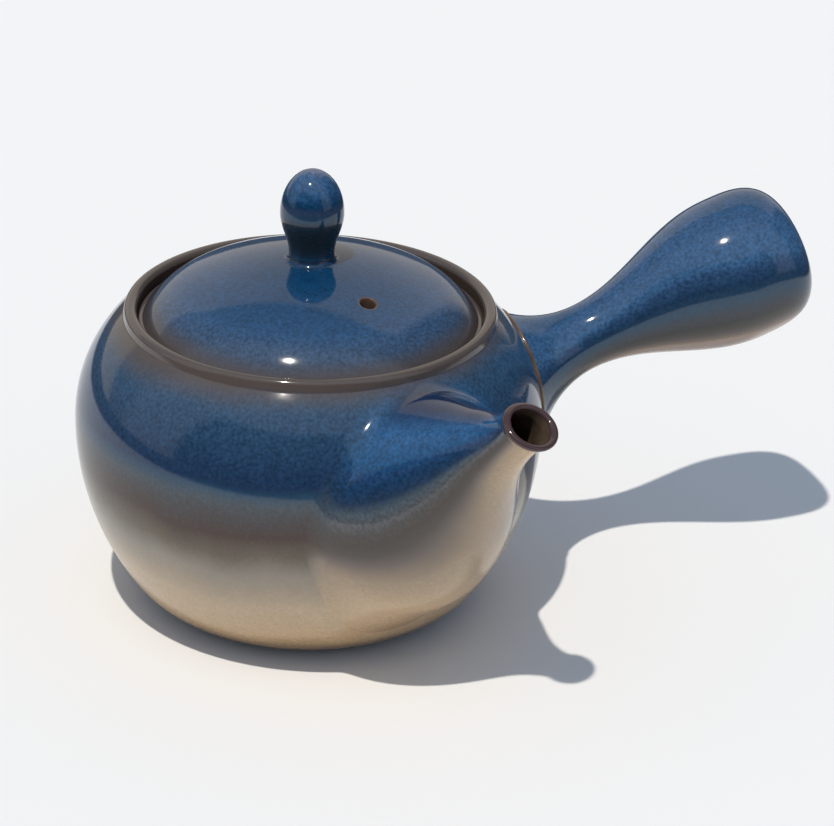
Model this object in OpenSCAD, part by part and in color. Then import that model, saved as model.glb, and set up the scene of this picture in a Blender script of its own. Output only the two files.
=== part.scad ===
// Side-handled stoneware teapot (yokode kyusu): thrown body, luted spout, strainer and handle,
// and a lift-off domed lid with an egg-shaped knob.
// The base stands on z = 0, the pot's axis is Z, and the handle points along +X.

/* [Body] */
// Largest outer diameter of the body
body_d = 110; // [100:1:120]
// Height of the widest ring above the base
belly_z = 45.5; // [41:0.5:50]
// Diameter of the flat base
base_d = 56; // [52:1:62]
// Radius of the rounded heel between base and side
heel_r = 18; // [15:0.5:20]
// Radius of the shoulder curve above the widest ring
shoulder_r = 34.5; // [33:0.5:38]
// Thickness of the thrown wall
wall = 4; // [3:0.25:5]
// Angle by which the inside leaves the shoulder's arc before the collar does
inner_lean = 7; // [6:0.5:9]

/* [Collar and mouth] */
// Outer diameter of the collar round the mouth
collar_d = 87; // [84:0.2:90]
// Height of the collar's upright wall, between the hollow and the half-round top
collar_wall = 0.8; // [0.4:0.1:1.6]
// Thickness of the collar, whose top is a half round
collar_t = 2.9; // [2.4:0.1:3.4]
// Radius of the hollow between shoulder and collar
collar_fillet = 0.8; // [0.5:0.1:1.6]
// Depth of the lid seat below the top of the collar
gallery_depth = 4.4; // [3.8:0.1:5]
// Thickness of the ledge that carries the lid
ledge_t = 3.6; // [3:0.2:4.4]
// Diameter of the mouth
mouth_d = 70; // [66:0.5:72]

/* [Lid] */
// Gap between the edge of the lid and the collar
lid_gap = 0.6; // [0.4:0.1:1]
// Height of the top of the lid above its seat
lid_rise = 15.9; // [13:0.1:19]
// Radius of the curve that turns the dome down toward its edge
lid_edge_r = 22; // [18:0.5:24]
// Slope of the dome at its edge
lid_edge_lean = 58; // [54:1:64]
// Width of the thin brim round the dome
brim_w = 0.9; // [0.7:0.1:1.2]
// Thickness of the brim
brim_t = 1.2; // [1:0.1:1.6]
// Bevel on the two edges of the brim
brim_bevel = 0.3; // [0.2:0.05:0.4]
// Thickness of the lid
lid_t = 3.8; // [3:0.2:4.6]
// Gap between the locating flange and the mouth
flange_gap = 0.8; // [0.5:0.1:1.2]
// Depth of the locating flange
flange_h = 6; // [4:0.25:8]
// Thickness of the locating flange
flange_t = 3.4; // [2.6:0.2:4.2]
// Diameter of the steam hole
steam_d = 3.6; // [2.5:0.1:5]
// Distance of the steam hole from the axis
steam_r = 22; // [14:0.5:26]

/* [Knob] */
// Height of the knob above the lid
knob_h = 22; // [18:0.5:26]
// Largest diameter of the knob
knob_d = 14.8; // [13:0.2:17]
// Diameter of the knob's neck
knob_neck_d = 10.6; // [9:0.2:12]
// Height of the neck above the lid
knob_neck_z = 1.8; // [1.4:0.1:2.4]
// Height of the widest ring above the lid
knob_belly_z = 11.6; // [9:0.2:14]
// Width of the slip fillet round the knob's foot
knob_lute_w = 1.5; // [1:0.1:2]
// How far the slip's hollow dips below its own radius
knob_lute_sink = 0.2; // [0.15:0.05:0.3]
// Width of the flat on the lid round the knob
knob_foot_w = 0.3; // [0.2:0.05:0.5]

/* [Spout] */
// Distance of the centre of the spout's mouth from the pot's axis
spout_reach = 81; // [78:0.5:84]
// Height of the spout's axis where it passes the body's widest ring
spout_side_z = 53.6; // [51:0.1:56]
// Angle of the mouth from the handle, clockwise seen from above
spout_turn = 71; // [66:0.5:80]
// Direction of the spout's own axis from the handle, clockwise seen from above
spout_axis_turn = 65.5; // [62:0.5:70]
// Angle at which the spout's axis rises
spout_rise = 38.5; // [36:0.5:41]
// Length of the bell curve from the neck to the full width
spout_len = 52; // [48:0.5:56]
// How far inside the body's widest ring the spout's turned form ends
spout_root = 33; // [31:0.5:36]
// How far before its wide end the spout's axis meets the body
spout_sink = 4; // [2:0.5:6]
// How far the turned form runs past the mouth before it is cut
mouth_over = 8; // [6:0.5:10]
// Outer diameter of the neck behind the lip
spout_neck_d = 11.2; // [10:0.2:12.4]
// Largest outer diameter of the bell
spout_bell_d = 54.4; // [50:0.2:56]
// Wall of the spout at the neck
spout_neck_wall = 1.4; // [1.2:0.1:1.8]
// Wall of the spout where it meets the body
spout_bell_wall = 3.2; // [2.6:0.1:4]
// Outer diameter of the beaded lip
lip_d = 13; // [12:0.1:14]
// Thickness of the bead on the lip
lip_bead = 1.8; // [1.6:0.1:2]
// Angle at which the mouth faces upward
lip_rise = 58; // [48:1:64]

/* [Strainer] */
// Diameter of the outlet cut through the body's wall
outlet_d = 26; // [22:0.5:30]
// Outer diameter of the half ball
strainer_d = 34; // [32:0.5:38]
// Thickness of the half ball
strainer_t = 2; // [1.5:0.1:2.6]
// Depth of the ball's centre inside the wall's outer face
strainer_set = 9; // [8:0.25:11]
// Clear height between the strainer and the lid's flange
strainer_below = 3.4; // [2:0.2:5]
// Diameter of each strainer hole
pierce_d = 1.8; // [1.2:0.1:2.2]
// Rings of holes round the central one
pierce_rings = 4; // [2:1:4]
// Angle between neighbouring rings of holes
pierce_step = 13; // [11:0.5:14]
// How far each piercing runs past the two faces of the half ball
pierce_over = 0.6; // [0.4:0.1:1]
// Holes in the first ring, and added with each ring after it
pierce_first = 6; // [5:1:6]
// Width of the slip ring that holds the strainer
strainer_lute_w = 1.6; // [1:0.1:2.2]

/* [Handle] */
// Angle at which the handle rises
handle_rise = 20; // [14:0.5:26]
// Height at which the handle's axis meets the pot's axis
handle_z = 32.5; // [28:0.5:36]
// Distance from the pot's axis to the end of the handle, along the handle
handle_end = 130; // [122:1:140]
// How far inside the body's side the handle's turned form starts
handle_root = 8; // [6:0.5:9]
// Distance to the neck
handle_neck_s = 73; // [70:0.5:77]
// Diameter of the neck
handle_neck_d = 15.8; // [14:0.2:18]
// Distance to the widest ring of the grip
handle_bulb_s = 113; // [106:0.5:117]
// Diameter of the widest ring of the grip
handle_bulb_d = 35.8; // [31:0.2:38]
// Radius of the flare between neck and body
flare_r = 24; // [21:0.5:28]
// Largest diameter of the flare, at the body
flare_d = 34; // [30:0.5:37]
// How square the blunt end is, where 2 is an ellipse
end_square = 3.3; // [2.4:0.1:4]
// Wall of the hollow handle
handle_wall = 3.2; // [2.6:0.1:4]
// Diameter of the vent hole in the end
vent_d = 5; // [3:0.5:7]
// How far the slip ridge stands proud of the flare
ridge_h = 0.7; // [0.4:0.1:1]

/* [Slip joints] */
// Thickness of the slip between two luted pieces
lute_t = 0.9; // [0.6:0.1:1.2]
// Gap left between two luted solids
joint_gap = 0.1; // [0.05:0.05:0.15]

/* [Hidden] */
$fn = 96;

blue = "#23446f";
brown = "#5a4a3d";
cream = "#c9b79a";

// Radii and centres of the three arcs of the body's side
body_r = body_d / 2;
base_r = base_d / 2;
bulge = body_r - base_r;
side_r = (bulge * bulge + belly_z * belly_z - 2 * belly_z * heel_r) / (2 * (bulge - heel_r));
side_x = body_r - side_r;
shoulder_x = body_r - shoulder_r;
heel_angle = atan2(heel_r - belly_z, base_r - side_x);

// Collar: a hollow leads from the shoulder to an upright wall with a half-round top
collar_r = collar_d / 2;
bead_r = collar_t / 2;
fillet_x = collar_r + collar_fillet;
fillet_z = belly_z + sqrt(pow(shoulder_r + collar_fillet, 2) - pow(fillet_x - shoulder_x, 2));
shoulder_angle = atan2(fillet_z - belly_z, fillet_x - shoulder_x);
collar_in = collar_r - collar_t;
collar_top = fillet_z + collar_wall + bead_r;
seat_z = collar_top - gallery_depth;
mouth_r = mouth_d / 2;
inner_shoulder_angle = shoulder_angle - inner_lean;

// Lid: sits on the gallery inside the collar, with a dome that turns smoothly down to a thin brim
lid_r = collar_in - lid_gap;
lid_top = seat_z + lid_rise;
edge_x = lid_r - brim_w - lid_edge_r * sin(lid_edge_lean);
edge_z = seat_z + brim_t - lid_edge_r * cos(lid_edge_lean);
edge_rise = lid_top - edge_z;
dome_r = (pow(edge_x, 2) + pow(edge_rise, 2) - pow(lid_edge_r, 2)) / (2 * (edge_rise - lid_edge_r));
dome_z = lid_top - dome_r;
flange_r = mouth_r - flange_gap;
knob_neck_r = knob_neck_d / 2;
knob_foot_r = knob_neck_r + knob_foot_w;
knob_z = dome_top(knob_foot_r);

// Spout
spout_out = spout_reach - body_r;
lip_z = spout_side_z + spout_out * tan(spout_rise);
lip_at = [spout_reach * cos(spout_turn), -spout_reach * sin(spout_turn), lip_z];
spout_in = (spout_out + spout_root) / cos(spout_rise);
bell_stations = [for (i = [0:20]) lip_bead + spout_len * i / 20];

// Point where the spout's axis enters the body gives the strainer's direction
axis_run = spout_len - spout_sink;
entry = [lip_at[0] - axis_run * cos(spout_rise) * cos(spout_axis_turn),
         lip_at[1] + axis_run * cos(spout_rise) * sin(spout_axis_turn)];
outlet_turn = atan2(entry[1], entry[0]);
strainer_x = body_r - strainer_set;
strainer_r = strainer_d / 2;
strainer_z = seat_z - flange_h - strainer_below - strainer_r;

// Handle
neck_r = handle_neck_d / 2;
bulb_r = handle_bulb_d / 2;
handle_start = body_r - handle_root;

// Smooth rise from a to b as u goes from 0 to 1
function ease(a, b, u) = a + (b - a) * (1 - cos(180 * min(1, max(0, u)))) / 2;

// Points of an arc in the half plane, from angle a0 to a1
function arc(x, z, r, a0, a1, n) = [for (i = [0:n]) let (a = a0 + (a1 - a0) * i / n)
    [x + r * cos(a), z + r * sin(a)]];

// The body's side from the base to the angle given on the shoulder, moved outward by g
function side(g, top_angle) = concat(
    arc(base_r, heel_r, heel_r + g, -90, heel_angle, 6),
    arc(side_x, belly_z, side_r + g, heel_angle, 0, 8),
    arc(shoulder_x, belly_z, shoulder_r + g, 0, top_angle, 8));

function reverse(v) = [for (i = [len(v) - 1:-1:0]) v[i]];

// Height of the lid's domed top at radius r
function dome_top(r) = dome_z + sqrt(dome_r * dome_r - r * r);

// Radius of the spout at a distance d behind its mouth
function spout_radius(d) = ease(spout_neck_d, spout_bell_d, (d - lip_bead) / spout_len) / 2;
function spout_bore(d) = spout_radius(d) - ease(spout_neck_wall, spout_bell_wall, (d - lip_bead) / spout_len);

// Radius of the handle at a distance s from the pot's axis
function handle_radius(s) =
    s < handle_neck_s ? min(flare_d / 2,
        neck_r + flare_r - sqrt(flare_r * flare_r - pow(min(flare_r, handle_neck_s - s), 2))) :
    s < handle_bulb_s ? ease(neck_r, bulb_r, (s - handle_neck_s) / (handle_bulb_s - handle_neck_s)) :
    bulb_r * pow(max(0, 1 - pow((s - handle_bulb_s) / (handle_end - handle_bulb_s), end_square)), 1 / end_square);

// Length of the flare, from its largest diameter to the neck
flare_len = sqrt(pow(flare_r, 2) - pow(flare_r + neck_r - flare_d / 2, 2));

// Stations along the handle, closer together toward the blunt end
function handle_stations(from) = concat(
    [from],
    [for (i = [0:7]) handle_neck_s - flare_len * (1 - i / 8)],
    [for (i = [0:9]) handle_neck_s + (handle_bulb_s - handle_neck_s) * i / 10],
    [for (i = [0:8]) handle_bulb_s + (handle_end - handle_bulb_s) * sin(90 * i / 8)]);

// The body's outside from the base to the foot of the collar's half-round top, moved outward by g
function outside(g) = concat(
    [[0, -g]],
    side(g, shoulder_angle),
    arc(fillet_x, fillet_z, max(0, collar_fillet - g), 180 + shoulder_angle, 180, 5));

// The body's inside from the floor to the edge of the mouth, moved inward by g
function inside(g) = concat(
    [[0, wall + g]],
    side(-wall - g, inner_shoulder_angle),
    [[mouth_r - g, seat_z - ledge_t - g]]);

// Solid that fills the body's outside moved outward by g, and the lid's way out above the collar
module body_block(g) {
    way_top = lid_top + knob_h;
    rotate_extrude()
        polygon(concat(outside(g), [[collar_r + g, way_top], [0, way_top]]));
}

// Solid that fills the body's inside moved inward by g, and the mouth up to the lid's seat
module body_room(g) {
    rotate_extrude()
        polygon(concat(inside(g), [[mouth_r - g, seat_z], [0, seat_z]]));
}

module spout_frame() {
    translate(lip_at) rotate([0, 90 - spout_rise, -spout_axis_turn]) children();
}

module lip_frame() {
    translate(lip_at) rotate([0, 90 - lip_rise, -spout_axis_turn]) children();
}

module handle_frame() {
    translate([0, 0, handle_z]) rotate([0, 90 - handle_rise, 0]) children();
}

module strainer_frame() {
    rotate([0, 0, outlet_turn]) translate([strainer_x, 0, strainer_z]) children();
}

// Outside of the spout, from past its mouth to inside the body, as one solid
module spout_bell() {
    spout_frame() rotate_extrude()
        polygon(concat([[0, mouth_over]],
            [[spout_neck_d / 2, mouth_over]],
            [for (d = bell_stations) [spout_radius(d), -d]],
            [[spout_bell_d / 2, -spout_in], [0, -spout_in]]));
}

module spout_hollow() {
    spout_frame() rotate_extrude()
        polygon(concat([[0, mouth_over + 1]],
            [[spout_bore(0), mouth_over + 1]],
            [for (d = bell_stations) [spout_bore(d), -d]],
            [[spout_bore(spout_in), -spout_in - 1], [0, -spout_in - 1]]));
}

// Handle turned on its own axis, with over added all round
module handle_turned(over) {
    handle_frame() rotate_extrude()
        polygon(concat([[0, handle_start]],
            [for (s = handle_stations(handle_start)) [max(0, handle_radius(s) + (s < handle_end ? over : 0)), s]]));
}

// Hollow inside the handle, drawn in at the end so that the wall stays
module handle_hollow() {
    from = handle_start - 1;
    squeeze = (handle_end - handle_wall - from) / (handle_end - from);
    handle_frame() rotate_extrude()
        polygon(concat([[0, from]],
            [for (s = handle_stations(from)) [max(0, handle_radius(s) - handle_wall), from + (s - from) * squeeze]]));
}

module body() {
    rim = arc(collar_r - bead_r, collar_top - bead_r, bead_r, 0, 180, 12);
    gallery = [[collar_in, seat_z], [mouth_r, seat_z]];
    color(blue) difference() {
        rotate_extrude() polygon(concat(outside(0), rim, gallery, reverse(inside(0))));
        strainer_frame() rotate([0, 90, 0]) cylinder(d = outlet_d, h = 3 * strainer_set, center = true);
    }
}

module spout() {
    color(cream) difference() {
        union() {
            difference() {
                spout_bell();
                lip_frame() translate([0, 0, lip_bead / 4]) cylinder(r = lip_d, h = 2 * mouth_over);
                body_block(lute_t + joint_gap);
            }
            lip_frame() rotate_extrude() translate([(lip_d - lip_bead) / 2, 0]) circle(d = lip_bead);
        }
        spout_hollow();
    }
}

module spout_lute() {
    color(brown) difference() {
        intersection() {
            spout_bell();
            body_block(lute_t);
        }
        spout_hollow();
        body_block(joint_gap);
    }
}

module strainer() {
    color(brown) difference() {
        intersection() {
            body_room(joint_gap);
            strainer_frame() difference() {
                sphere(d = strainer_d);
                sphere(d = strainer_d - 2 * strainer_t);
            }
        }
        strainer_frame() for (ring = [0:pierce_rings])
            for (k = [0:max(0, pierce_first * ring - 1)])
                rotate([k * 360 / (pierce_first * max(1, ring)), 0, 0]) rotate([0, pierce_step * ring - 90, 0])
                    translate([0, 0, strainer_r - strainer_t - pierce_over])
                        cylinder(d = pierce_d, h = strainer_t + 2 * pierce_over);
    }
}

module strainer_lute() {
    color(brown) intersection() {
        difference() {
            body_room(joint_gap);
            body_room(joint_gap + strainer_lute_w);
        }
        strainer_frame() difference() {
            sphere(d = strainer_d + 2 * (joint_gap + strainer_lute_w));
            sphere(d = strainer_d + 2 * joint_gap);
        }
    }
}

module handle() {
    color(blue) difference() {
        handle_turned(0);
        handle_hollow();
        handle_frame() translate([0, 0, handle_end - 2 * handle_wall]) cylinder(d = vent_d, h = 3 * handle_wall);
        body_block(lute_t + joint_gap);
    }
}

module handle_lute() {
    color(brown) difference() {
        intersection() {
            handle_turned(ridge_h);
            body_block(lute_t);
        }
        handle_hollow();
        body_block(joint_gap);
    }
}

module lid() {
    edge_turn = acos(edge_x / (dome_r - lid_edge_r));
    dome_run = dome_r * cos(edge_turn) - knob_foot_r;
    top = concat(
        [[0, knob_z], [knob_foot_r, knob_z]],
        [for (i = [1:13]) let (r = knob_foot_r + dome_run * i / 14) [r, dome_top(r)]],
        arc(edge_x, edge_z, lid_edge_r, edge_turn, 90 - lid_edge_lean, 8));
    under = concat(
        [[lid_r - brim_bevel, seat_z + brim_t], [lid_r, seat_z + brim_t - brim_bevel],
         [lid_r, seat_z + brim_bevel], [lid_r - brim_bevel, seat_z], [flange_r, seat_z],
         [flange_r, seat_z - flange_h], [flange_r - flange_t, seat_z - flange_h]],
        [for (i = [10:-1:0]) let (r = (flange_r - flange_t) * i / 10) [r, dome_top(r) - lid_t]]);
    color(blue) difference() {
        rotate_extrude() polygon(concat(top, under));
        rotate([0, 0, -spout_turn]) translate([steam_r, 0, seat_z]) cylinder(d = steam_d, h = lid_rise + lid_t);
    }
}

module lid_knob() {
    stem = [for (i = [0:10]) let (u = i / 10)
        [ease(knob_neck_d, knob_d, u) / 2, knob_neck_z + (knob_belly_z - knob_neck_z) * u]];
    crown = arc(0, 0, 1, 0, 90, 14);
    color(blue) translate([0, 0, knob_z]) rotate_extrude()
        polygon(concat([[0, 0], [knob_neck_r, 0]], stem,
            [for (p = crown) [p[0] * knob_d / 2, knob_belly_z + p[1] * (knob_h - knob_belly_z)]]));
}

module knob_lute() {
    w = knob_lute_w;
    inner = knob_neck_r + joint_gap;
    color(brown) rotate_extrude()
        polygon(concat(
            [[inner, knob_z + joint_gap]],
            [[knob_foot_r, knob_z + joint_gap], [inner + w, dome_top(inner + w) + joint_gap]],
            arc(inner + w, knob_z + w, w - knob_lute_sink, 270, 180, 6)));
}

body();
spout();
spout_lute();
strainer();
strainer_lute();
handle();
handle_lute();
lid();
lid_knob();
knob_lute();
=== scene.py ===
import math

import bpy
from mathutils import Matrix, Vector


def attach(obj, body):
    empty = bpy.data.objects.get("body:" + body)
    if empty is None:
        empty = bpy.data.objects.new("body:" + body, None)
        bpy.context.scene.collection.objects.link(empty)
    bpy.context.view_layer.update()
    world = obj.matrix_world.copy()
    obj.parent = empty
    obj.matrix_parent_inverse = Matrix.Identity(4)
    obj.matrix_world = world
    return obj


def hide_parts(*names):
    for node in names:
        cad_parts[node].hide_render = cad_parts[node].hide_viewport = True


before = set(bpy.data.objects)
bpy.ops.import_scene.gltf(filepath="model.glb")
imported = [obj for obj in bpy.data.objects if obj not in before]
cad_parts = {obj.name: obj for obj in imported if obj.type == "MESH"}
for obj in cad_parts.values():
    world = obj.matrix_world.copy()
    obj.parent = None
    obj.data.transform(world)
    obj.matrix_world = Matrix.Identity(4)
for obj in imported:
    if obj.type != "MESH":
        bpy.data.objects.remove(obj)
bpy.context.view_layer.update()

# Body: a round stoneware pot thrown on the wheel, with a low collar and a sunk seat for the lid.
# Its wall is about 4 mm of clay, dipped in a cream glaze and then sprayed with blue from above.
# The outlet behind the spout is cut while the clay is leather hard.
MM = 0.001
UP = Vector((0, 0, 1))
POT_AXIS = Vector((0, 0, 0))
FRONT = Vector((1, 0, 0))

body_r = 55 * MM
base_r = 28 * MM
heel_r = 18 * MM
belly_z = 45.5 * MM
shoulder_r = 34.5 * MM
wall = 4 * MM
inner_lean = 7
collar_r = 43.5 * MM
collar_wall = 0.8 * MM
collar_t = 2.9 * MM
collar_fillet = 0.8 * MM
collar_lean = 10
gallery_depth = 4.4 * MM
ledge_t = 3.6 * MM
mouth_r = 35 * MM
soft_edge = 0.7 * MM
outlet_r = 13 * MM
outlet_turn = -75.6
outlet_z = 43 * MM

bulge = body_r - base_r
side_r = (bulge**2 + belly_z**2 - 2 * belly_z * heel_r) / (2 * (bulge - heel_r))
side_x = body_r - side_r
shoulder_x = body_r - shoulder_r
heel_angle = math.degrees(math.atan2(heel_r - belly_z, base_r - side_x))
heel_top = heel_r + heel_r * math.sin(math.radians(heel_angle))
rim_r = collar_t / 2
fillet_x = collar_r + collar_fillet
fillet_rise = math.sqrt((shoulder_r + collar_fillet) ** 2 - (fillet_x - shoulder_x) ** 2)
fillet_z = belly_z + fillet_rise
shoulder_angle = math.degrees(math.atan2(fillet_rise, fillet_x - shoulder_x))
collar_in = collar_r - collar_t
collar_top = fillet_z + collar_wall + rim_r
seat_z = collar_top - gallery_depth


def arc(x, z, r, start, end, steps):
    """Points of an arc in the half plane of an outline, with angles in degrees."""
    turns = [math.radians(start + (end - start) * i / steps) for i in range(steps + 1)]
    return [(x + r * math.cos(a), z + r * math.sin(a)) for a in turns]


def body_side(g, top_angle):
    """The body's side from the base up to an angle on the shoulder, moved outward by g."""
    return (
        arc(base_r, heel_r, heel_r + g, -90, heel_angle, 16)
        + arc(side_x, belly_z, side_r + g, heel_angle, 0, 30)[1:]
        + arc(shoulder_x, belly_z, shoulder_r + g, 0, top_angle, 24)[1:]
    )


def body_outside(g):
    """The body's outside from the middle of the base to the foot of the rim, moved outward by g."""
    hollow = arc(fillet_x, fillet_z, collar_fillet - g, 180 + shoulder_angle, 180 + collar_lean, 10)
    return [(0, -g)] + body_side(g, shoulder_angle) + hollow[1:]


def body_gap(spot):
    """How far a spot lies outside the body's side, and the way straight out from it there."""
    level = Vector((spot.x, spot.y, 0))
    if spot.z > belly_z:
        x, z, r = shoulder_x, belly_z, shoulder_r
    elif spot.z > heel_top:
        x, z, r = side_x, belly_z, side_r
    else:
        x, z, r = base_r, heel_r, heel_r
    out = level.normalized() * (level.length - x) + UP * (spot.z - z)
    return out.length - r, out.normalized()


def turn(name, outline, foot=POT_AXIS, axis=UP, side=FRONT, steps=256):
    """Draws an outline point by point, as a chain of edges, and spins it round its axis."""
    bpy.ops.object.select_all(action="DESELECT")
    bpy.ops.mesh.primitive_plane_add(size=MM, location=(0, 0, 0))
    piece = bpy.context.object
    piece.name = piece.data.name = name
    points = [foot + side * r + axis * s for r, s in outline]
    bpy.ops.object.mode_set(mode="EDIT")
    bpy.ops.mesh.merge(type="CENTER")
    bpy.ops.transform.translate(value=points[0])
    for here, there in zip(points, points[1:]):
        bpy.ops.mesh.extrude_region_move(TRANSFORM_OT_translate={"value": there - here})
    bpy.ops.mesh.select_all(action="SELECT")
    bpy.ops.mesh.spin(steps=steps, angle=math.tau, center=foot, axis=axis)
    bpy.ops.mesh.select_all(action="SELECT")
    bpy.ops.mesh.remove_doubles(threshold=0.002 * MM)
    bpy.ops.mesh.normals_make_consistent(inside=False)
    bpy.ops.object.mode_set(mode="OBJECT")
    return piece


def body_form(g):
    """The body's outside as one full form, moved outward by g, to fit other pieces to it."""
    return turn("body_form", body_outside(g) + [(collar_r + g, collar_top), (0, collar_top)])


def cut_away(piece, cutter):
    """Takes the cutter's shape out of a piece, then throws the cutter away."""
    bpy.context.view_layer.objects.active = piece
    cut = piece.modifiers.new("cut", "BOOLEAN")
    cut.operation = "DIFFERENCE"
    cut.solver = "EXACT"
    cut.object = cutter
    bpy.ops.object.modifier_apply(modifier=cut.name)
    bpy.data.objects.remove(cutter)


def smooth(piece, angle):
    """Shades a piece smooth, with edges kept crisp where they turn more than the angle."""
    bpy.ops.object.select_all(action="DESELECT")
    piece.select_set(True)
    bpy.context.view_layer.objects.active = piece
    bpy.ops.object.shade_smooth_by_angle(angle=math.radians(angle))


rim_in = collar_wall * math.tan(math.radians(collar_lean))
rim = arc(collar_r - rim_r - rim_in, collar_top - rim_r, rim_r, collar_lean, 180, 18)
gallery = (
    arc(collar_in - soft_edge, seat_z + soft_edge, soft_edge, 0, -90, 5)
    + arc(mouth_r + soft_edge, seat_z - soft_edge, soft_edge, 90, 180, 5)
    + arc(mouth_r + soft_edge, seat_z - ledge_t + soft_edge, soft_edge, 180, 225, 4)
)
inner_side = body_side(-wall, shoulder_angle - inner_lean)[::-1]
body = turn("body_shell", body_outside(0) + rim + gallery + inner_side + [(0, wall)])

bpy.ops.mesh.primitive_cylinder_add(
    vertices=64,
    radius=outlet_r,
    depth=6 * wall,
    location=(
        body_r * math.cos(math.radians(outlet_turn)),
        body_r * math.sin(math.radians(outlet_turn)),
        outlet_z,
    ),
    rotation=(math.radians(90), 0, math.radians(outlet_turn + 90)),
)
cut_away(body, bpy.context.object)
smooth(body, 50)


def linear(code):
    """An sRGB hex colour as the linear colour that a socket takes."""
    parts = [int(code[i : i + 2], 16) / 255 for i in (1, 3, 5)]
    return [c / 12.92 if c <= 0.04045 else ((c + 0.055) / 1.055) ** 2.4 for c in parts] + [1]


def put(tree, kind, feeds=None, **settings):
    """Adds one node with its settings, and feeds its sockets with links or plain values."""
    node = tree.nodes.new(kind)
    for name, value in settings.items():
        setattr(node, name, value)
    for socket, source in (feeds or {}).items():
        if isinstance(source, bpy.types.NodeSocket):
            tree.links.new(source, node.inputs[socket])
        else:
            node.inputs[socket].default_value = source
    return node


def new_finish(name):
    """A new material with an empty node tree."""
    finish = bpy.data.materials.new(name)
    finish.use_nodes = True
    finish.node_tree.nodes.clear()
    return finish, finish.node_tree


def colour_steps(ramp, steps):
    """Sets a colour ramp's stops, given as pairs of place and hex colour."""
    stops = ramp.color_ramp.elements
    while len(stops) < len(steps):
        stops.new(1)
    for stop, (place, code) in zip(stops, steps):
        stop.position = place
        stop.color = linear(code)


glaze_ior = 1.54


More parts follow.
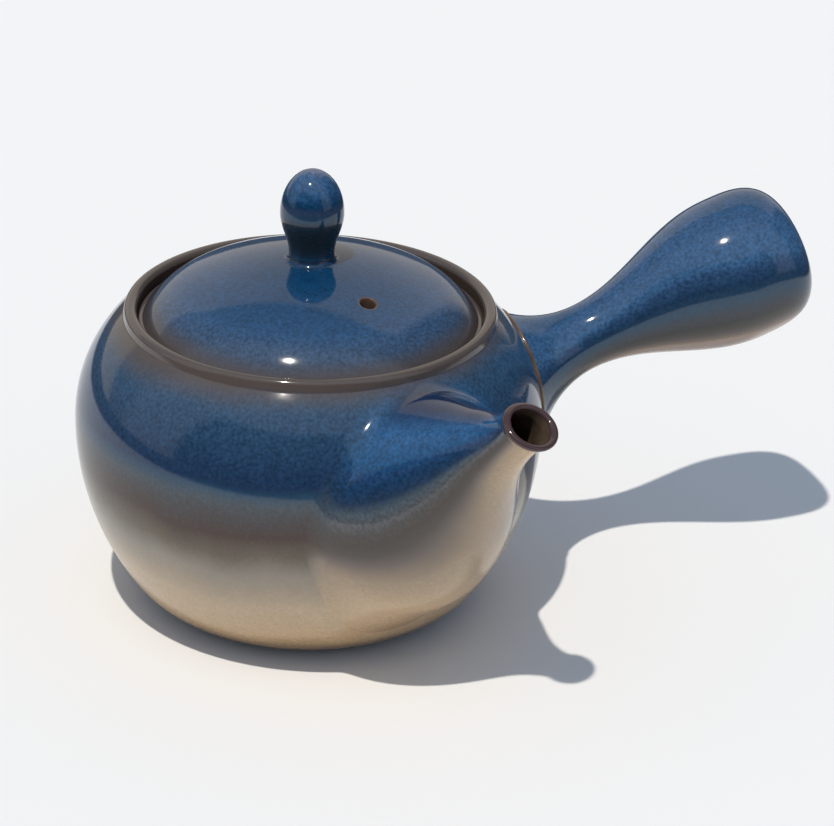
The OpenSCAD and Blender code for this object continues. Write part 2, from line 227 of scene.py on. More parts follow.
def sprayed_glaze(name, shades, breaks=(), meets=None):
    """Glossy feldspar glaze over stoneware, cream below and sprayed with cobalt blue from above.

    The eye sees a soft mist of blue that fades through grey-brown to cream. The spray fell from
    above, so each shade is given with how far its surface faces up, from -1 to 1. The droplets
    are under a millimetre across and pool a little every 2 mm. Each break is a point, a stretch,
    two distances and the two strengths there with which the glaze thins to a colour. Shades that
    it meets take over as the mesh's "spread" attribute goes from 0 to 1.
    """
    drifts_per_m = 45  # the edge of the spray wavers every 22 mm
    drops_per_m = 1300  # droplets lie 0.8 mm apart
    pools_per_m = 420  # and run together every 2.4 mm
    ripples_per_m = 300  # the fired surface rises and falls every 3.3 mm
    drift_share, mist_share = 0.10, 0.06
    usual_shift = (drift_share + mist_share) / 2
    noise_low, noise_high = 0.3, 0.7
    sparse, dense, least_grain = 0.48, 0.68, 0.25
    cream, blue = 0.3, 0.5
    cream_rough, blue_rough = 0.24, 0.08

    finish, tree = new_finish(name)
    coords = put(tree, "ShaderNodeTexCoord")
    place = coords.outputs["Object"]
    facing = put(tree, "ShaderNodeSeparateXYZ", {"Vector": coords.outputs["Normal"]})
    drift = put(
        tree, "ShaderNodeTexNoise", {"Vector": place, "Scale": drifts_per_m, "Detail": 2.0}
    )
    mist = put(
        tree, "ShaderNodeTexNoise", {"Vector": place, "Scale": drops_per_m, "Detail": 2.0}
    )
    pools = put(
        tree, "ShaderNodeTexNoise", {"Vector": place, "Scale": pools_per_m, "Detail": 2.0}
    )
    wander = put(
        tree,
        "ShaderNodeMath",
        {0: drift.outputs["Fac"], 1: drift_share, 2: facing.outputs["Z"]},
        operation="MULTIPLY_ADD",
    )
    misted = put(
        tree,
        "ShaderNodeMath",
        {0: mist.outputs["Fac"], 1: mist_share, 2: wander.outputs[0]},
        operation="MULTIPLY_ADD",
    )
    spray = put(
        tree,
        "ShaderNodeMapRange",
        {
            "Value": misted.outputs[0],
            "From Min": -1 + usual_shift,
            "From Max": 1 + usual_shift,
        },
    )
    shade = put(tree, "ShaderNodeValToRGB", {"Fac": spray.outputs[0]})
    colour_steps(shade, [((up + 1) / 2, code) for up, code in shades])
    colour = shade.outputs["Color"]
    if meets:
        other = put(tree, "ShaderNodeValToRGB", {"Fac": spray.outputs[0]})
        colour_steps(other, [((up + 1) / 2, code) for up, code in meets])
        spread = put(tree, "ShaderNodeAttribute", attribute_name="spread")
        joined = put(
            tree,
            "ShaderNodeMix",
            {"Factor": spread.outputs["Fac"], 6: colour, 7: other.outputs["Color"]},
            data_type="RGBA",
        )
        colour = joined.outputs[2]
    cover = put(
        tree,
        "ShaderNodeMapRange",
        {
            "Value": spray.outputs[0],
            "From Min": sparse,
            "From Max": dense,
            "To Min": least_grain,
        },
    )
    for grain, depth in ((mist, 0.32), (pools, 0.08)):
        tone = put(
            tree,
            "ShaderNodeMapRange",
            {
                "Value": grain.outputs["Fac"],
                "From Min": noise_low,
                "From Max": noise_high,
                "To Min": 1 - depth,
                "To Max": 1 + depth,
            },
        )
        dappled = put(
            tree,
            "ShaderNodeMix",
            {"Factor": cover.outputs[0], 6: colour, 7: tone.outputs[0]},
            data_type="RGBA",
            blend_type="MULTIPLY",
        )
        colour = dappled.outputs[2]
    for point, stretch, near, far, near_strength, far_strength, code in breaks:
        waver = 0.4 * (far - near)
        away = put(tree, "ShaderNodeVectorMath", {0: place, 1: point}, operation="SUBTRACT")
        drawn = put(
            tree, "ShaderNodeVectorMath", {0: away.outputs[0], 1: stretch}, operation="MULTIPLY"
        )
        reach = put(tree, "ShaderNodeVectorMath", {0: drawn.outputs[0]}, operation="LENGTH")
        ragged = put(
            tree,
            "ShaderNodeMath",
            {0: drift.outputs["Fac"], 1: waver, 2: reach.outputs["Value"]},
            operation="MULTIPLY_ADD",
        )
        thin = put(
            tree,
            "ShaderNodeMapRange",
            {
                "Value": ragged.outputs[0],
                "From Min": near + waver / 2,
                "From Max": far + waver / 2,
                "To Min": near_strength,
                "To Max": far_strength,
            },
            interpolation_type="SMOOTHSTEP",
        )
        broken = put(
            tree,
            "ShaderNodeMix",
            {"Factor": thin.outputs[0], 6: colour, 7: linear(code)},
            data_type="RGBA",
        )
        colour = broken.outputs[2]
    ripple = put(
        tree, "ShaderNodeTexNoise", {"Vector": place, "Scale": ripples_per_m, "Detail": 3.0}
    )
    relief = put(
        tree,
        "ShaderNodeBump",
        {"Height": ripple.outputs["Fac"], "Strength": 0.06, "Distance": 0.2 * MM},
    )
    gloss = put(
        tree,
        "ShaderNodeMapRange",
        {
            "Value": spray.outputs[0],
            "From Min": cream,
            "From Max": blue,
            "To Min": cream_rough,
            "To Max": blue_rough,
        },
    )
    shader = put(
        tree,
        "ShaderNodeBsdfPrincipled",
        {
            "Base Color": colour,
            "Roughness": gloss.outputs[0],
            "IOR": glaze_ior,
            "Normal": relief.outputs["Normal"],
        },
    )
    put(tree, "ShaderNodeOutputMaterial", {"Surface": shader.outputs["BSDF"]})
    return finish


def thin_glaze(name, code, dark):
    """Glaze wiped or run thin over iron clay: a glossy brown that clouds every 5 mm."""
    finish, tree = new_finish(name)
    place = put(tree, "ShaderNodeTexCoord").outputs["Object"]
    clouds_per_m = 200
    cloud = put(
        tree, "ShaderNodeTexNoise", {"Vector": place, "Scale": clouds_per_m, "Detail": 3.0}
    )
    tone = put(tree, "ShaderNodeValToRGB", {"Fac": cloud.outputs["Fac"]})
    colour_steps(tone, [(0.36, dark), (0.64, code)])
    shader = put(
        tree,
        "ShaderNodeBsdfPrincipled",
        {"Base Color": tone.outputs["Color"], "Roughness": 0.16, "IOR": glaze_ior},
    )
    put(tree, "ShaderNodeOutputMaterial", {"Surface": shader.outputs["BSDF"]})
    return finish


def plain_clay(name, code, dark):
    """Bare fired stoneware: matt, iron brown, with sandy grains 0.4 mm across."""
    finish, tree = new_finish(name)
    place = put(tree, "ShaderNodeTexCoord").outputs["Object"]
    grains_per_m = 2500
    grain = put(
        tree, "ShaderNodeTexNoise", {"Vector": place, "Scale": grains_per_m, "Detail": 4.0}
    )
    tone = put(tree, "ShaderNodeValToRGB", {"Fac": grain.outputs["Fac"]})
    colour_steps(tone, [(0.35, dark), (0.62, code)])
    relief = put(
        tree,
        "ShaderNodeBump",
        {"Height": grain.outputs["Fac"], "Strength": 0.35, "Distance": 0.1 * MM},
    )
    shader = put(
        tree,
        "ShaderNodeBsdfPrincipled",
        {
            "Base Color": tone.outputs["Color"],
            "Roughness": 0.72,
            "Normal": relief.outputs["Normal"],
        },
    )
    put(tree, "ShaderNodeOutputMaterial", {"Surface": shader.outputs["BSDF"]})
    return finish


# The base and the strainer are bare clay, dull and sandy beside the gloss. The seat is wiped bare
# of glaze, and its clay is painted darker than elsewhere as shade in the gap under the lid's brim.
# The inside is a dark glossy brown.
bare_clay = plain_clay("bare_iron_stoneware", "#6b5443", "#4a382c")
wiped_clay_and_gap_shade = plain_clay("wiped_iron_clay_and_painted_shade_in_seat", "#43342a", "#30261f")
inside_glaze = thin_glaze("thin_brown_glaze_inside", "#5a4c40", "#3f342b")

# The body's glaze goes from cream near the base through a brown band at the belly to blue, and
# breaks to brown where it runs thin below the collar, less so on the side of the handle. Its two
# lowest, darker browns face down at the heel: partly a darker foot, partly painted contact shade.
body_shades_with_contact_shade = [
    # These two darker stops are partly painted contact shade under the heel.
    (-0.85, "#766049"),
    (-0.68, "#90785b"),
    (-0.56, "#bc9f79"),
    (-0.40, "#bea88b"),
    (-0.24, "#90887b"),
    (-0.16, "#645a4b"),
    (-0.08, "#413028"),
    (0.08, "#404a52"),
    (0.15, "#26445c"),
    (0.20, "#1b3250"),
    (0.80, "#31506c"),
]
collar_break = ((45 * MM, 0, 0), (0.2, 0, 1), 67.6 * MM, 73.6 * MM, 0, 0.85, "#584c42")
body_glaze_and_contact_shade = sprayed_glaze("sprayed_blue_glaze_and_contact_shade_on_body", body_shades_with_contact_shade, [collar_break])
BARE, INSIDE, SEAT = 1, 2, 3
base_slack = 0.02 * MM
wall_slack = 0.1 * MM
for finish in (body_glaze_and_contact_shade, bare_clay, inside_glaze, wiped_clay_and_gap_shade):
    body.data.materials.append(finish)
for face in body.data.polygons:
    spot = face.center
    ring = math.hypot(spot.x, spot.y)
    beside_lid = seat_z - ledge_t < spot.z < collar_top - rim_r
    if spot.z < base_slack:
        face.material_index = BARE
    elif beside_lid and ring < collar_in + wall_slack:
        face.material_index = SEAT
    elif spot.z < seat_z and body_gap(spot)[0] < -wall / 2:
        face.material_index = INSIDE
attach(body, "pot")
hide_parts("body")

# Spout: a small trumpet of the same clay, turned on its own axis and luted over the outlet.
# Its mouth is cut on a slant and rolled out into a thin lip, where the glaze breaks to brown.
spout_turn = math.radians(65.5)
spout_rise = math.radians(38.5)
lip_tilt = math.radians(19.5)
lip_at = Vector((26.37, -76.59, 74.28)) * MM
spout_axis = Vector(
    (
        math.cos(spout_rise) * math.cos(spout_turn),
        -math.cos(spout_rise) * math.sin(spout_turn),
        math.sin(spout_rise),
    )
)
spout_side = Vector((math.sin(spout_turn), math.cos(spout_turn), 0))
spout_up = spout_side.cross(spout_axis)
spout_len = 52 * MM
spout_end = 75.4 * MM
neck_r = 5.6 * MM
bell_r = 27.2 * MM
neck_wall = 1.4 * MM
bell_wall = 3.2 * MM
lip_bead = 0.9 * MM
lip_run = 1.8 * MM
slant_run = 16 * MM
clear = 0.03 * MM


def ease(low, high, u):
    """A soft rise from low to high as u goes from 0 to 1."""
    return low + (high - low) * (1 - math.cos(math.pi * min(1, max(0, u)))) / 2


def spout_radius(d):
    """Radius of the spout's outside at a distance behind its mouth."""
    return ease(neck_r, bell_r, (d - lip_run) / spout_len)


def spout_bore(d):
    """Radius of the spout's inside at a distance behind its mouth."""
    return spout_radius(d) - ease(neck_wall, bell_wall, (d - lip_run) / spout_len)


runs = [lip_run + (spout_end - lip_run) * (i / 60) ** 1.25 for i in range(61)]
outer = [(spout_radius(d), -d) for d in runs[::-1]]
flare = [(neck_r + 0.08 * MM, -1.35 * MM), (neck_r + 0.3 * MM, -0.98 * MM)]
lip = arc(neck_r, 0, lip_bead, -46, 190, 18)
bore = [(spout_bore(d), -d) for d in runs]
spout = turn(
    "spout_shell",
    outer + flare + lip + bore + outer[:1],
    lip_at,
    spout_axis,
    spout_side,
    steps=160,
)
cut_away(spout, body_form(clear))
smooth(spout, 40)

# The spout's glaze is cream below and blue above, with a paler grey band between them that is
# partly painted reflection, and a brown ring where it breaks over the lip.
# The ring lies between two distances from a point straight out in front of the mouth.
lip_way = spout_axis * math.cos(lip_tilt) - spout_up * math.sin(lip_tilt)
lip_point = 20 * MM
lip_near = lip_point + 0.9 * MM
lip_far = lip_point + 3 * MM
spout_shades_with_reflection_band = [
    (-0.80, "#aa8a63"),
    (-0.68, "#c5a883"),
    (-0.32, "#a8937a"),
    (-0.16, "#6c625b"),
    (-0.08, "#504943"),
    (0.00, "#463e37"),
    (0.08, "#454341"),
    # These two paler greys are partly painted reflection, a light band where the blue meets the
    # grey.
    (0.16, "#525559"),
    (0.22, "#4a565f"),
    (0.30, "#253851"),
    (0.40, "#1a3858"),
    (0.48, "#213e63"),
    (0.56, "#154973"),
    (0.82, "#295581"),
    (0.97, "#10294c"),
]
spout_glaze_and_reflection_band = sprayed_glaze(
    "sprayed_blue_glaze_on_spout",
    spout_shades_with_reflection_band,
    [(lip_at + lip_way * lip_point, (1, 1, 1), lip_near, lip_far, 1, 0, "#443437")],
)
in_bore = 1
for finish in (spout_glaze_and_reflection_band, inside_glaze):
    spout.data.materials.append(finish)
for face in spout.data.polygons:
    off = face.center - lip_at
    depth = -off.dot(spout_axis)
    ring = (off + spout_axis * depth).length
    if depth > 0 and ring < (spout_radius(depth) + spout_bore(depth)) / 2:
        face.material_index = in_bore
for vertex in spout.data.vertices:
    off = vertex.co - lip_at
    share = ease(1, 0, -off.dot(spout_axis) / slant_run)
    rise = off.dot(spout_up)
    drawn = rise * (1 - share * (1 - math.cos(lip_tilt)))
    vertex.co += spout_up * (drawn - rise) + spout_axis * (math.tan(lip_tilt) * drawn * share)
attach(spout, "pot")
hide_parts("spout")

# Spout joint: wet slip smoothed with a finger into a soft hollow all round the spout's root.
# It is glazed with the pot and takes the same spray.
joint_top_r = 3 * MM
joint_side_r = 9 * MM
joint_sink = 0.05 * MM
joint_root = 0.4 * MM
joint_steps = 14


def seam(foot, axis, side, radius, outer_end, inner_end, steps):
    """Follows the line where a piece turned on its own axis meets the body.

    Gives each point of the line with the outward directions of the piece and of the body.
    """
    across = axis.cross(side)
    spots = []
    for i in range(steps):
        way = side * math.cos(math.tau * i / steps) + across * math.sin(math.tau * i / steps)
        outer_s, inner_s = outer_end, inner_end
        for _ in range(40):
            s = (outer_s + inner_s) / 2
            spot = foot + axis * s + way * radius(s)
            if body_gap(spot)[0] > 0:
                outer_s = s
            else:
                inner_s = s
        slope = (radius(s + 0.1 * MM) - radius(s - 0.1 * MM)) / (0.2 * MM)
        spots.append((spot, (way - axis * slope).normalized(), body_gap(spot)[1]))
    return spots


def ring_of(name, loops):
    """A torus whose every cross-section is laid on a loop of given points."""
    bpy.ops.object.select_all(action="DESELECT")
    bpy.ops.mesh.primitive_torus_add(
        major_segments=len(loops),
        minor_segments=len(loops[0]),
        major_radius=20 * MM,
        minor_radius=MM,
    )
    piece = bpy.context.object
    piece.name = piece.data.name = name
    for vertex, spot in zip(piece.data.vertices, [spot for loop in loops for spot in loop]):
        vertex.co = spot
    bpy.ops.object.mode_set(mode="EDIT")
    bpy.ops.mesh.select_all(action="SELECT")
    bpy.ops.mesh.normals_make_consistent(inside=False)
    bpy.ops.object.mode_set(mode="OBJECT")
    return piece


hollows = []
for spot, piece_out, body_out in seam(
    lip_at, spout_axis, spout_side, lambda s: spout_radius(-s), -lip_run, -spout_end, 240
):
    joint_r = ease(joint_side_r, joint_top_r, piece_out.dot(spout_up))
    lean = piece_out + body_out
    middle = spot + lean * (joint_r / (1 + piece_out.dot(body_out)))
    loop = [spot - lean.normalized() * joint_root]
    for i in range(joint_steps + 1):
        across = i / joint_steps
        point = middle - piece_out.slerp(body_out, across) * joint_r
        off = point - lip_at
        depth = -off.dot(spout_axis)
        spout_gap = (off + spout_axis * depth).length - spout_radius(depth)
        point -= piece_out * ((spout_gap + joint_sink) * (1 - across) ** 3)
        point -= body_out * ((body_gap(point)[0] + joint_sink) * across**3)
        loop.append(point)
    hollows.append(loop)
spout_joint = ring_of("spout_joint_slip", hollows)
smooth(spout_joint, 60)
spread = spout_joint.data.attributes.new("spread", "FLOAT", "POINT")
for i, mark in enumerate(spread.data):
    mark.value = max(0, i % (joint_steps + 2) - 1) / joint_steps

# Its glaze takes the spout's shades on one side and runs into the body's on the other.
spout_joint.data.materials.append(
    sprayed_glaze(
        "sprayed_blue_glaze_on_spout_joint", spout_shades_with_reflection_band, [collar_break], meets=body_shades_with_contact_shade
    )
)
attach(spout_joint, "pot")
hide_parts("spout_lute")

# Strainer: a half ball of thin clay, pierced with rows of holes while leather hard.
# It is fixed over the outlet inside the pot and left bare, so that no glaze fills its holes.
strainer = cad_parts["strainer"]
strainer.data.materials.clear()
strainer.data.materials.append(bare_clay)

# Strainer joint: a ring of bare slip that holds the strainer to the inside of the wall.
# It is pressed on with a finger round the outlet and fires to the same clay as the strainer.
strainer_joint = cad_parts["strainer_lute"]
strainer_joint.data.materials.clear()
strainer_joint.data.materials.append(bare_clay)

# Handle: a hollow side handle turned on its own axis, flared where it meets the pot.
# It is luted on at a right angle to the spout, with a vent hole in its blunt end.
handle_rise = math.radians(20)
handle_at = Vector((0, 0, 32.5)) * MM
handle_axis = Vector((math.cos(handle_rise), 0, math.sin(handle_rise)))
handle_side = Vector((0, 1, 0))
handle_start = 47 * MM
handle_end = 130 * MM
handle_neck_s = 73 * MM
handle_neck_r = 7.9 * MM
handle_bulb_s = 113 * MM
handle_bulb_r = 17.9 * MM
flare_r = 24 * MM
flare_most = 17 * MM
end_square = 3.3
handle_wall = 3.2 * MM
vent_r = 2.5 * MM
grip_steps = 70
end_steps = 40


def handle_radius(s):
    """Radius of the handle at a distance from the pot's axis: flare, neck, bulb, blunt end."""
    if s < handle_neck_s:
        drop = min(flare_r, handle_neck_s - s)
        return min(flare_most, handle_neck_r + flare_r - math.sqrt(flare_r**2 - drop**2))
    if s < handle_bulb_s:
        along = (s - handle_neck_s) / (handle_bulb_s - handle_neck_s)
        return ease(handle_neck_r, handle_bulb_r, along)
    along = (s - handle_bulb_s) / (handle_end - handle_bulb_s)
    return handle_bulb_r * max(0, 1 - along**end_square) ** (1 / end_square)


grip_run = handle_bulb_s - handle_start
grip = [handle_start + grip_run * i / grip_steps for i in range(grip_steps + 1)]
blunt = []
for i in range(1, end_steps):
    swing = math.radians(90 * i / end_steps)
    across = math.cos(swing) ** (2 / end_square)
    along = math.sin(swing) ** (2 / end_square)
    if handle_bulb_r * across > vent_r + soft_edge:
        blunt.append(
            (handle_bulb_r * across, handle_bulb_s + (handle_end - handle_bulb_s) * along)
        )
vent = arc(vent_r + soft_edge, blunt[-1][1] - soft_edge, soft_edge, 90, 180, 5)
outside = [(handle_radius(s), s) for s in grip] + blunt + vent
squeeze = (handle_end - handle_wall - handle_start) / (handle_end - handle_start)
hollow = [
    (max(vent_r, r - handle_wall), handle_start + (s - handle_start) * squeeze)
    for r, s in outside[: len(grip) + len(blunt)]
    if r - handle_wall > 0
]
handle = turn(
    "handle_shell",
    outside + [(vent_r, hollow[-1][1])] + hollow[::-1] + outside[:1],
    handle_at,
    handle_axis,
    handle_side,
    steps=160,
)
cut_away(handle, body_form(clear))
smooth(handle, 40)

# The handle's glaze is blue on top and fades through grey-brown to a pale pinkish cream below.
handle_glaze = sprayed_glaze(
    "sprayed_blue_glaze_on_handle",
    [
        (-0.74, "#ae9d90"),
        (-0.64, "#9e8777"),
        (-0.56, "#6d5c4b"),
        (-0.48, "#524847"),
        (-0.40, "#403e36"),
        (-0.30, "#343635"),
        (-0.16, "#393f49"),
        (0.02, "#24445b"),
        (0.22, "#1d3753"),
        (0.40, "#2a4669"),
        (0.50, "#365a80"),
        (0.90, "#315278"),
        (0.97, "#1f486d"),
    ],
)
handle.data.materials.append(handle_glaze)
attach(handle, "pot")
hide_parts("handle")

# Handle joint: a thin roll of slip pressed into the seam between handle and body.
# The glaze runs off it, so the clay colours it and it shows as a glossy tan line.
roll_r = 0.45 * MM
roll_lift = 0.4 * roll_r
rolls = []
for spot, piece_out, body_out in seam(
    handle_at, handle_axis, handle_side, handle_radius, handle_neck_s, handle_start, 200
):
    out = (piece_out + body_out).normalized()
    along = (piece_out - body_out).normalized()
    middle = spot + out * roll_lift
    rolls.append([middle + out * x + along * y for x, y in arc(0, 0, roll_r, 0, 330, 11)])
handle_joint = ring_of("handle_joint_slip", rolls)
smooth(handle_joint, 60)
handle_joint.data.materials.append(thin_glaze("tan_glaze_on_handle_joint", "#6b5846", "#4f4135"))
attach(handle_joint, "pot")
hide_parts("handle_lute")

# Lid: a low dome turned down to a thin brim, a flange that drops into the mouth and a steam hole.
# It is thrown and turned on its own, and fired in place so that it fits its pot.
lid_r = 40 * MM
lid_edge_r = 22 * MM
lid_edge_lean = 58
brim_w = 0.9 * MM
brim_t = 1.2 * MM
brim_soft = 0.3 * MM
lid_rise = 15.9 * MM
lid_t = 3.8 * MM
flange_r = 34.2 * MM
flange_h = 6 * MM
flange_t = 3.4 * MM
steam_d = 3.6 * MM
steam_r = 22 * MM
steam_turn = math.radians(-71)
steam_soft = 0.4 * MM
dome_steps = 48
under_steps = 24

lid_top = seat_z + lid_rise
edge_x = lid_r - brim_w - lid_edge_r * math.sin(math.radians(lid_edge_lean))
edge_z = seat_z + brim_t - lid_edge_r * math.cos(math.radians(lid_edge_lean))
edge_rise = lid_top - edge_z
dome_r = (edge_x**2 + edge_rise**2 - lid_edge_r**2) / (2 * (edge_rise - lid_edge_r))
dome_z = lid_top - dome_r


def dome_top(r):
    """Height of the lid's domed top at a distance from its axis."""
    return dome_z + math.sqrt(dome_r**2 - r**2)


edge_turn = math.degrees(math.acos(edge_x / (dome_r - lid_edge_r)))
dome_run = dome_r * math.cos(math.radians(edge_turn))
dome_rings = [dome_run * i / dome_steps for i in range(dome_steps)]
dome = [(r, dome_top(r)) for r in dome_rings]
edge = arc(edge_x, edge_z, lid_edge_r, edge_turn, 90 - lid_edge_lean, 24)
brim = arc(lid_r - brim_soft, seat_z + brim_t - brim_soft, brim_soft, 90, 0, 5) + arc(
    lid_r - brim_soft, seat_z + brim_soft, brim_soft, 0, -90, 5
)
flange = (
    arc(flange_r + soft_edge, seat_z - soft_edge, soft_edge, 90, 180, 5)
    + arc(flange_r - flange_t / 2, seat_z - flange_h + flange_t / 2, flange_t / 2, 0, -180, 14)
)
flange_in = flange_r - flange_t
under_rings = [flange_in * i / under_steps for i in range(under_steps, -1, -1)]
under = [(r, dome_top(r) - lid_t) for r in under_rings]
lid = turn("lid_shell", dome + edge + brim + flange + under)

steam_at = Vector(
    (steam_r * math.cos(steam_turn), steam_r * math.sin(steam_turn), dome_top(steam_r))
)
bpy.ops.mesh.primitive_cylinder_add(
    vertices=48, radius=steam_d / 2, depth=4 * lid_t, location=steam_at
)
cut_away(lid, bpy.context.object)
steam_out = (steam_at - UP * dome_z).normalized()
steam_side = steam_out.cross(UP).normalized()
throat = arc(steam_d / 2 + steam_soft, -steam_soft, steam_soft, 180, 90, 8)
funnel = [(0, -steam_soft)] + throat + [(throat[-1][0], lid_t), (0, lid_t)]
cut_away(lid, turn("steam_funnel", funnel, steam_at, steam_out, steam_side, steps=48))
smooth(lid, 50)

# The lid's glaze is deep blue in the middle and greyer down its sides, and breaks to brown at the
# brim and round the steam hole.
lid_glaze = sprayed_glaze(
    "sprayed_blue_glaze_on_lid",
    [
        (0.00, "#4d443f"),
        (0.60, "#354a62"),
        (0.80, "#364e6b"),
        (0.90, "#2b4c70"),
        (1.00, "#0b395d"),
    ],
    [
        ((0, 0, 0), (1, 1, 0), 34.5 * MM, 39 * MM, 0, 0.8, "#574b43"),
        (steam_at, (1, 1, 1), 1.9 * MM, 2.6 * MM, 1, 0, "#5c473a"),
    ],
)
brim_slack = 0.05 * MM
for finish in (lid_glaze, bare_clay, inside_glaze):
    lid.data.materials.append(finish)
for face in lid.data.polygons:
    spot = face.center
    ring = math.hypot(spot.x, spot.y)
    if spot.z < seat_z + brim_slack:
        face.material_index = BARE
    elif ring < flange_in + wall_slack and spot.z < dome_top(ring) - lid_t / 2:
        face.material_index = INSIDE
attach(lid, "lid")
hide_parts("lid")

# Knob: a small egg of clay on a drawn-in neck, which two fingers can hold.
# It is turned from the same clay, luted to the middle of the lid and sprayed with it.
knob_neck_r = 5.3 * MM
knob_neck_z = 1.8 * MM
knob_belly_r = 7.4 * MM
knob_belly_z = 11.6 * MM
knob_h = 22 * MM
knob_foot_w = 0.3 * MM
stem_steps = 24
knob_z = dome_top(knob_neck_r + knob_foot_w)
stem = [
    (
        ease(knob_neck_r, knob_belly_r, i / stem_steps),
        knob_z + knob_neck_z + (knob_belly_z - knob_neck_z) * i / stem_steps,
    )
    for i in range(stem_steps + 1)
]
crown = [
    (knob_belly_r * x, knob_z + knob_belly_z + (knob_h - knob_belly_z) * y)
    for x, y in arc(0, 0, 1, 0, 90, 32)[1:]
]
knob = turn("lid_knob_egg", [(0, knob_z), (knob_neck_r, knob_z)] + stem + crown, steps=128)
smooth(knob, 50)

# The knob's glaze is blue on its crown. Under its belly it is painted nearly black, as painted
# shade and a painted reflection of the dark lid.
knob_glaze_and_painted_shade = sprayed_glaze(
    "sprayed_blue_glaze_on_knob",
    [
        # The lowest, near-black shades are painted shade and reflection under the belly.
        (-0.60, "#111a1e"),
        (-0.28, "#1c2529"),
        (-0.06, "#1c2d3f"),
        (0.02, "#153e58"),
        (0.16, "#293a55"),
        (0.28, "#0b3353"),
        (0.40, "#20476c"),
        (0.85, "#38597e"),
        (1.00, "#4f5f7d"),
    ],
)
knob.data.materials.append(knob_glaze_and_painted_shade)
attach(knob, "lid")
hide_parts("lid_knob")

# Knob joint: wet slip smoothed into a small hollow round the knob's foot.
# It is glazed with the lid and painted dark blue, as shade in the hollow.
knob_lute_w = 1.5 * MM
lute_out = knob_neck_r + knob_lute_w
lute_sink = 0.1 * MM
lute = (
    [(knob_neck_r - lute_sink, knob_z - 3 * lute_sink)]
    + [(lute_out + lute_sink, dome_top(lute_out) - 3 * lute_sink)]
    + arc(lute_out + lute_sink, knob_z + knob_lute_w, knob_lute_w + lute_sink, 270, 180, 10)
)
knob_joint = turn("knob_joint_slip", lute + lute[:1], steps=128)
smooth(knob_joint, 50)
# Both shades are dark: painted shade in the hollow round the knob's foot.
knob_joint.data.materials.append(
    sprayed_glaze("dark_blue_glaze_and_painted_shade_on_knob_joint", [(0.0, "#132234"), (1.0, "#1b3b5c")])
)
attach(knob_joint, "lid")
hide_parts("knob_lute")

# Floor: a plain pale table. The glaze mirrors an oval of it, a third of a metre deep before and
# behind the pot and wider at the sides, and dark ground beyond.
bpy.ops.object.select_all(action="DESELECT")
bpy.ops.mesh.primitive_plane_add(size=12, location=(0, 0, 0))
floor = bpy.context.object
floor.name = "floor"
oval_turn = math.radians(-30.2)
oval_stretch = (1.4, 1, 1)
oval_edge, oval_end = 0.30, 0.34
paint, tree = new_finish("pale_matt_paint")
place = put(tree, "ShaderNodeTexCoord").outputs["Object"]
oval = put(
    tree,
    "ShaderNodeMapping",
    {"Vector": place, "Rotation": (0, 0, oval_turn), "Scale": oval_stretch},
    vector_type="TEXTURE",
)
distance = put(tree, "ShaderNodeVectorMath", {0: oval.outputs[0]}, operation="LENGTH")
beyond = put(
    tree,
    "ShaderNodeMapRange",
    {"Value": distance.outputs["Value"], "From Min": oval_edge, "From Max": oval_end},
)
ray = put(tree, "ShaderNodeLightPath")
mirrored = put(
    tree,
    "ShaderNodeMath",
    {0: beyond.outputs[0], 1: ray.outputs["Is Glossy Ray"]},
    operation="MULTIPLY",
)
tone = put(
    tree,
    "ShaderNodeMix",
    {"Factor": mirrored.outputs[0], 6: linear("#f0f2f3"), 7: linear("#3a4048")},
    data_type="RGBA",
)
matt = put(
    tree, "ShaderNodeBsdfPrincipled", {"Base Color": tone.outputs[2], "Roughness": 0.9}
)
put(tree, "ShaderNodeOutputMaterial", {"Surface": matt.outputs["BSDF"]})
floor.data.materials.append(paint)

# Light: one small bright lamp high on the left front, and a soft room. The glaze mirrors it pale
# behind the pot, and darker overhead, to the right and behind the camera, where the glaze shows
# its own colour.
bpy.ops.object.light_add(type="SUN")
key = bpy.context.object
key.data.energy = 2.5
key.data.angle = math.radians(1.2)
key.data.color = linear("#fff6ea")[:3]
key.rotation_mode = "QUATERNION"
key.rotation_quaternion = Vector((0.275, 0.276, -1)).to_track_quat("-Z", "Y")

to_front = (-0.50, -0.86, 0)
to_right = (0.945, -0.326, 0)
to_canopy = (-0.605, -0.626, 0.493)
front_dark_top, front_pale_top = 0.60, 0.66
front_pale_edge, front_dark_edge = 0.55, 0.62
right_pale_edge, right_dark_edge = 0.42, 0.56
canopy_soft = 0.02
back_edge, front_edge = -0.05, 0.10
room = bpy.data.worlds.new("soft_room")
bpy.context.scene.world = room
room.use_nodes = True
tree = room.node_tree
tree.nodes.clear()
look = put(tree, "ShaderNodeTexCoord").outputs["Generated"]
height = put(tree, "ShaderNodeSeparateXYZ", {"Vector": look}).outputs["Z"]
toward = put(tree, "ShaderNodeVectorMath", {0: look, 1: to_front}, operation="DOT_PRODUCT")
above = put(
    tree,
    "ShaderNodeMapRange",
    {
        "Value": height,
        "From Min": front_dark_top,
        "From Max": front_pale_top,
        "To Min": 1.0,
        "To Max": 0.0,
    },
)
ahead = put(
    tree,
    "ShaderNodeMapRange",
    {
        "Value": toward.outputs["Value"],
        "From Min": front_pale_edge,
        "From Max": front_dark_edge,
    },
)
dark = put(
    tree, "ShaderNodeMath", {0: above.outputs[0], 1: ahead.outputs[0]}, operation="MULTIPLY"
)
before = put(
    tree,
    "ShaderNodeMix",
    {"Factor": dark.outputs[0], 6: linear("#b4bccb"), 7: linear("#30343c")},
    data_type="RGBA",
)
canopy = put(tree, "ShaderNodeVectorMath", {0: look, 1: to_canopy}, operation="DOT_PRODUCT")
overhead = put(
    tree,
    "ShaderNodeMapRange",
    {"Value": canopy.outputs["Value"], "From Min": -canopy_soft, "From Max": canopy_soft},
)
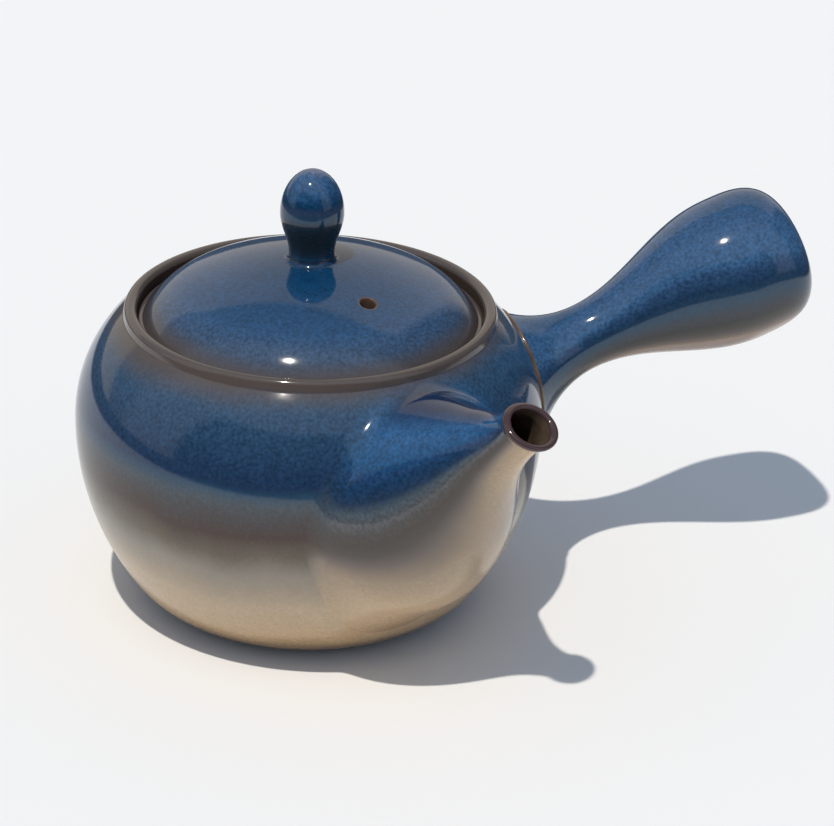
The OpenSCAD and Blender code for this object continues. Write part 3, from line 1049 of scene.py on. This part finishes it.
behind = put(
    tree,
    "ShaderNodeMix",
    {"Factor": overhead.outputs[0], 6: linear("#d8cfc2"), 7: linear("#858b96")},
    data_type="RGBA",
)
rightward = put(tree, "ShaderNodeVectorMath", {0: look, 1: to_right}, operation="DOT_PRODUCT")
shaded = put(
    tree,
    "ShaderNodeMapRange",
    {
        "Value": rightward.outputs["Value"],
        "From Min": right_pale_edge,
        "From Max": right_dark_edge,
    },
)
beside = put(
    tree,
    "ShaderNodeMix",
    {"Factor": shaded.outputs[0], 6: behind.outputs[2], 7: linear("#3c424c")},
    data_type="RGBA",
)
side = put(
    tree,
    "ShaderNodeMapRange",
    {"Value": toward.outputs["Value"], "From Min": back_edge, "From Max": front_edge},
)
mirror = put(
    tree,
    "ShaderNodeMix",
    {"Factor": side.outputs[0], 6: beside.outputs[2], 7: before.outputs[2]},
    data_type="RGBA",
)
sight = put(tree, "ShaderNodeLightPath")
fill = put(
    tree,
    "ShaderNodeMix",
    {"Factor": sight.outputs["Is Glossy Ray"], 6: linear("#939fb0"), 7: mirror.outputs[2]},
    data_type="RGBA",
)
seen = put(
    tree,
    "ShaderNodeMix",
    {"Factor": sight.outputs["Is Camera Ray"], 6: fill.outputs[2], 7: linear("#f1f2f1")},
    data_type="RGBA",
)
air = put(tree, "ShaderNodeBackground", {"Color": seen.outputs[2]})
put(tree, "ShaderNodeOutputWorld", {"Surface": air.outputs[0]})

# Camera: a long lens from the left front, a little above the pot.
bpy.ops.object.camera_add(location=(-0.2117, -0.6927, 0.3917))
camera = bpy.context.object
camera.data.sensor_width = 36
camera.data.lens = 146.8
camera.data.clip_start = 0.05
camera.rotation_mode = "QUATERNION"
roll = math.radians(1.7)
forward = Vector((0.2939, 0.8534, -0.4305)).normalized()
level = forward.cross(UP).normalized()
upright = level.cross(forward)
right = level * math.cos(roll) + upright * math.sin(roll)
top = upright * math.cos(roll) - level * math.sin(roll)
camera.rotation_quaternion = Matrix((right, top, -forward)).transposed().to_quaternion()
bpy.context.scene.camera = camera
bpy.context.scene.view_settings.view_transform = "Standard"
